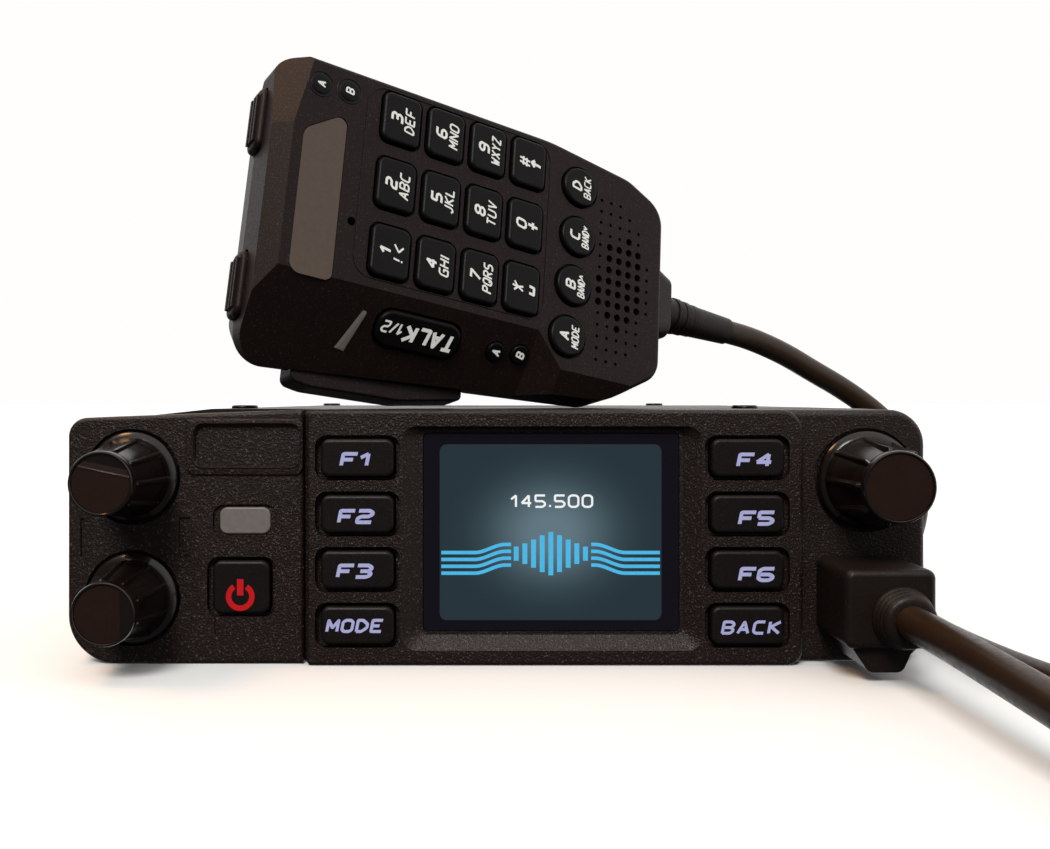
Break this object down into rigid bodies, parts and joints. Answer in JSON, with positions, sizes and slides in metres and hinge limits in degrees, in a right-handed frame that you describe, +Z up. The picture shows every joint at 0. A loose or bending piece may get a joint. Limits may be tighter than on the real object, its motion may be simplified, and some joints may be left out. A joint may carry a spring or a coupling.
{
  "type": "mobile transceiver",
  "caption": "Dash-mount two-way radio with a colour display, push keys and knobs, and a keypad hand microphone on a curly lead resting on its lid.",
  "frame": {"origin": "middle of the flat underside of the radio body, on the surface it stands on", "axes": "+Z up, -Y out of the front panel, +X to the right seen from the front"},
  "size_m": [0.208, 0.311, 0.1171],
  "materials": {
    "moulded_case": "fine spark-eroded moulding grain",
    "cast_body": "black powder coat on a die casting",
    "steel_lid": "black textured paint on sheet steel",
    "display_glass": "black-bordered cover glass",
    "display_body": "display panel",
    "grey_lens": "smoked translucent lens",
    "key_rubber": "soft-touch silicone keys",
    "knob_moulding": "satin moulded knobs",
    "circuit_board": "solder-masked glass-fibre board",
    "plated_control": "plated steel",
    "speaker_frame": "black lacquered steel",
    "socket_moulding": "moulded socket body",
    "black_screw": "black zinc",
    "side_key": "moulded side keys",
    "soft_rubber": "moulded rubber boot and grommets",
    "cord_jacket": "smooth black jacket"
  },
  "bodies": {
    "radio": {"front_bezel": "moulded_case", "chassis": "cast_body", "top_cover": "steel_lid", "display_glass": "display_glass", "display_module": "display_body", "led_window": "grey_lens", "front_board": "circuit_board", "main_board": "circuit_board", "speaker": "speaker_frame", "rotary_controls": "plated_control", "mic_socket": "socket_moulding", "antenna_socket": "plated_control", "power_grommet": "soft_rubber", "cover_screws": "black_screw", "mic_plug": "soft_rubber", "cord_front_lead": "cord_jacket", "cord_curly_section": "cord_jacket", "cord_mic_lead": "cord_jacket"},
    "mic": {"mic_front_shell": "moulded_case", "mic_rear_shell": "moulded_case", "mic_display_window": "grey_lens", "mic_board": "circuit_board", "mic_speaker": "speaker_frame", "mic_hang_stud": "plated_control", "mic_strain_relief": "soft_rubber", "mic_screws": "black_screw"},
    "key_p1": {"key_p1": "key_rubber"},
    "key_p2": {"key_p2": "key_rubber"},
    "key_p3": {"key_p3": "key_rubber"},
    "key_menu": {"key_menu": "key_rubber"},
    "key_p4": {"key_p4": "key_rubber"},
    "key_p5": {"key_p5": "key_rubber"},
    "key_p6": {"key_p6": "key_rubber"},
    "key_exit": {"key_exit": "key_rubber"},
    "power_button": {"power_button": "key_rubber"},
    "mic_key_1": {"mic_key_1": "key_rubber"},
    "mic_key_2": {"mic_key_2": "key_rubber"},
    "mic_key_3": {"mic_key_3": "key_rubber"},
    "mic_key_4": {"mic_key_4": "key_rubber"},
    "mic_key_5": {"mic_key_5": "key_rubber"},
    "mic_key_6": {"mic_key_6": "key_rubber"},
    "mic_key_7": {"mic_key_7": "key_rubber"},
    "mic_key_8": {"mic_key_8": "key_rubber"},
    "mic_key_9": {"mic_key_9": "key_rubber"},
    "mic_key_star": {"mic_key_star": "key_rubber"},
    "mic_key_0": {"mic_key_0": "key_rubber"},
    "mic_key_hash": {"mic_key_hash": "key_rubber"},
    "mic_key_a": {"mic_key_a": "key_rubber"},
    "mic_key_b": {"mic_key_b": "key_rubber"},
    "mic_key_c": {"mic_key_c": "key_rubber"},
    "mic_key_d": {"mic_key_d": "key_rubber"},
    "mic_band_a": {"mic_band_a": "key_rubber"},
    "mic_band_b": {"mic_band_b": "key_rubber"},
    "mic_sub_ptt": {"mic_sub_ptt": "key_rubber"},
    "mic_ptt_bar": {"mic_ptt_bar": "side_key"},
    "mic_up_key": {"mic_up_key": "side_key"},
    "mic_down_key": {"mic_down_key": "side_key"},
    "knob_upper_left": {"knob_upper_left": "knob_moulding"},
    "knob_lower_left": {"knob_lower_left": "knob_moulding"},
    "knob_right": {"knob_right": "knob_moulding"}
  },
  "joints": [
    {"name": "mic_lift", "type": "slide", "parent": "radio", "child": "mic", "axis": [0, 0, 1], "range_m": [0, 0.04]},
    {"name": "key_p1_press", "type": "slide", "parent": "radio", "child": "key_p1", "axis": [0, 1, 0], "range_m": [0, 0.0008], "stiffness_N_per_m": 400, "springref_m": -0.002},
    {"name": "key_p2_press", "type": "slide", "parent": "radio", "child": "key_p2", "axis": [0, 1, 0], "range_m": [0, 0.0008], "stiffness_N_per_m": 400, "springref_m": -0.002},
    {"name": "key_p3_press", "type": "slide", "parent": "radio", "child": "key_p3", "axis": [0, 1, 0], "range_m": [0, 0.0008], "stiffness_N_per_m": 400, "springref_m": -0.002},
    {"name": "key_menu_press", "type": "slide", "parent": "radio", "child": "key_menu", "axis": [0, 1, 0], "range_m": [0, 0.0008], "stiffness_N_per_m": 400, "springref_m": -0.002},
    {"name": "key_p4_press", "type": "slide", "parent": "radio", "child": "key_p4", "axis": [0, 1, 0], "range_m": [0, 0.0008], "stiffness_N_per_m": 400, "springref_m": -0.002},
    {"name": "key_p5_press", "type": "slide", "parent": "radio", "child": "key_p5", "axis": [0, 1, 0], "range_m": [0, 0.0008], "stiffness_N_per_m": 400, "springref_m": -0.002},
    {"name": "key_p6_press", "type": "slide", "parent": "radio", "child": "key_p6", "axis": [0, 1, 0], "range_m": [0, 0.0008], "stiffness_N_per_m": 400, "springref_m": -0.002},
    {"name": "key_exit_press", "type": "slide", "parent": "radio", "child": "key_exit", "axis": [0, 1, 0], "range_m": [0, 0.0008], "stiffness_N_per_m": 400, "springref_m": -0.002},
    {"name": "power_button_press", "type": "slide", "parent": "radio", "child": "power_button", "axis": [0, 1, 0], "range_m": [0, 0.0008], "stiffness_N_per_m": 400, "springref_m": -0.002},
    {"name": "mic_key_1_press", "type": "slide", "parent": "mic", "child": "mic_key_1", "axis": [-0.521, 0.8338, -0.1822], "range_m": [0, 0.0007], "stiffness_N_per_m": 400, "springref_m": -0.002},
    {"name": "mic_key_2_press", "type": "slide", "parent": "mic", "child": "mic_key_2", "axis": [-0.521, 0.8338, -0.1822], "range_m": [0, 0.0007], "stiffness_N_per_m": 400, "springref_m": -0.002},
    {"name": "mic_key_3_press", "type": "slide", "parent": "mic", "child": "mic_key_3", "axis": [-0.521, 0.8338, -0.1822], "range_m": [0, 0.0007], "stiffness_N_per_m": 400, "springref_m": -0.002},
    {"name": "mic_key_4_press", "type": "slide", "parent": "mic", "child": "mic_key_4", "axis": [-0.521, 0.8338, -0.1822], "range_m": [0, 0.0007], "stiffness_N_per_m": 400, "springref_m": -0.002},
    {"name": "mic_key_5_press", "type": "slide", "parent": "mic", "child": "mic_key_5", "axis": [-0.521, 0.8338, -0.1822], "range_m": [0, 0.0007], "stiffness_N_per_m": 400, "springref_m": -0.002},
    {"name": "mic_key_6_press", "type": "slide", "parent": "mic", "child": "mic_key_6", "axis": [-0.521, 0.8338, -0.1822], "range_m": [0, 0.0007], "stiffness_N_per_m": 400, "springref_m": -0.002},
    {"name": "mic_key_7_press", "type": "slide", "parent": "mic", "child": "mic_key_7", "axis": [-0.521, 0.8338, -0.1822], "range_m": [0, 0.0007], "stiffness_N_per_m": 400, "springref_m": -0.002},
    {"name": "mic_key_8_press", "type": "slide", "parent": "mic", "child": "mic_key_8", "axis": [-0.521, 0.8338, -0.1822], "range_m": [0, 0.0007], "stiffness_N_per_m": 400, "springref_m": -0.002},
    {"name": "mic_key_9_press", "type": "slide", "parent": "mic", "child": "mic_key_9", "axis": [-0.521, 0.8338, -0.1822], "range_m": [0, 0.0007], "stiffness_N_per_m": 400, "springref_m": -0.002},
    {"name": "mic_key_star_press", "type": "slide", "parent": "mic", "child": "mic_key_star", "axis": [-0.521, 0.8338, -0.1822], "range_m": [0, 0.0007], "stiffness_N_per_m": 400, "springref_m": -0.002},
    {"name": "mic_key_0_press", "type": "slide", "parent": "mic", "child": "mic_key_0", "axis": [-0.521, 0.8338, -0.1822], "range_m": [0, 0.0007], "stiffness_N_per_m": 400, "springref_m": -0.002},
    {"name": "mic_key_hash_press", "type": "slide", "parent": "mic", "child": "mic_key_hash", "axis": [-0.521, 0.8338, -0.1822], "range_m": [0, 0.0007], "stiffness_N_per_m": 400, "springref_m": -0.002},
    {"name": "mic_key_a_press", "type": "slide", "parent": "mic", "child": "mic_key_a", "axis": [-0.521, 0.8338, -0.1822], "range_m": [0, 0.0007], "stiffness_N_per_m": 400, "springref_m": -0.002},
    {"name": "mic_key_b_press", "type": "slide", "parent": "mic", "child": "mic_key_b", "axis": [-0.521, 0.8338, -0.1822], "range_m": [0, 0.0007], "stiffness_N_per_m": 400, "springref_m": -0.002},
    {"name": "mic_key_c_press", "type": "slide", "parent": "mic", "child": "mic_key_c", "axis": [-0.521, 0.8338, -0.1822], "range_m": [0, 0.0007], "stiffness_N_per_m": 400, "springref_m": -0.002},
    {"name": "mic_key_d_press", "type": "slide", "parent": "mic", "child": "mic_key_d", "axis": [-0.521, 0.8338, -0.1822], "range_m": [0, 0.0007], "stiffness_N_per_m": 400, "springref_m": -0.002},
    {"name": "mic_band_a_press", "type": "slide", "parent": "mic", "child": "mic_band_a", "axis": [-0.4059, 0.8368, 0.3675], "range_m": [0, 0.0007], "stiffness_N_per_m": 400, "springref_m": -0.002},
    {"name": "mic_band_b_press", "type": "slide", "parent": "mic", "child": "mic_band_b", "axis": [-0.4059, 0.8368, 0.3675], "range_m": [0, 0.0007], "stiffness_N_per_m": 400, "springref_m": -0.002},
    {"name": "mic_sub_ptt_press", "type": "slide", "parent": "mic", "child": "mic_sub_ptt", "axis": [-0.4059, 0.8368, 0.3675], "range_m": [0, 0.0007], "stiffness_N_per_m": 400, "springref_m": -0.002},
    {"name": "mic_ptt_bar_press", "type": "slide", "parent": "mic", "child": "mic_ptt_bar", "axis": [0.0611, 0.2494, 0.9665], "range_m": [0, 0.0013], "stiffness_N_per_m": 600, "springref_m": -0.002},
    {"name": "mic_up_key_press", "type": "slide", "parent": "mic", "child": "mic_up_key", "axis": [0.8513, 0.4924, -0.1809], "range_m": [0, 0.0008], "stiffness_N_per_m": 400, "springref_m": -0.002},
    {"name": "mic_down_key_press", "type": "slide", "parent": "mic", "child": "mic_down_key", "axis": [0.8513, 0.4924, -0.1809], "range_m": [0, 0.0008], "stiffness_N_per_m": 400, "springref_m": -0.002},
    {"name": "knob_upper_left_turn", "type": "hinge", "parent": "radio", "child": "knob_upper_left", "pos_m": [-0.06705, -0.1, 0.0346], "axis": [0, 1, 0], "range_deg": [-150, 150]},
    {"name": "knob_lower_left_turn", "type": "hinge", "parent": "radio", "child": "knob_lower_left", "pos_m": [-0.06705, -0.1, 0.0122], "axis": [0, 1, 0], "range_deg": [-150, 150]},
    {"name": "knob_right_turn", "type": "hinge", "parent": "radio", "child": "knob_right", "pos_m": [0.0689, -0.1, 0.0339], "axis": [0, 1, 0], "continuous": true}
  ]
}
